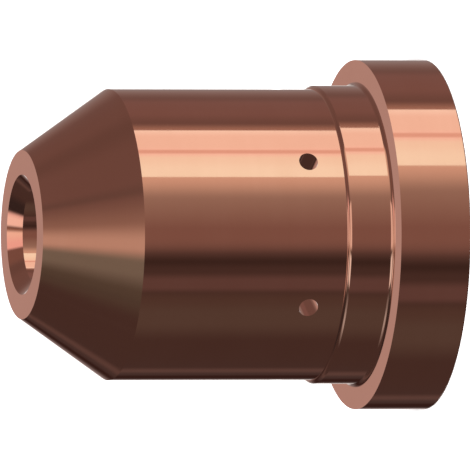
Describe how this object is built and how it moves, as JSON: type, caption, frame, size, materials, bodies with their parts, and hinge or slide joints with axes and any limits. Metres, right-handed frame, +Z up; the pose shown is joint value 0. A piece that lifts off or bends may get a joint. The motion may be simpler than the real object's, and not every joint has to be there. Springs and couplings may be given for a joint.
{
  "type": "plasma torch nozzle",
  "caption": "One-piece turned copper plasma torch nozzle: flanged base, pilot collar, plain body with radial vent holes, tapered tip with a countersunk mouth and a stepped bore.",
  "frame": {"origin": "centre of the rear face, the flat ring that the nozzle stands on and that seats on the swirl ring", "axes": "+Z up along the nozzle's axis, from the rear face towards the tip; +X through the first vent hole"},
  "size_m": [0.016, 0.016, 0.019],
  "materials": {
    "copper": null
  },
  "bodies": {
    "root": {"nozzle": "copper"}
  },
  "joints": []
}
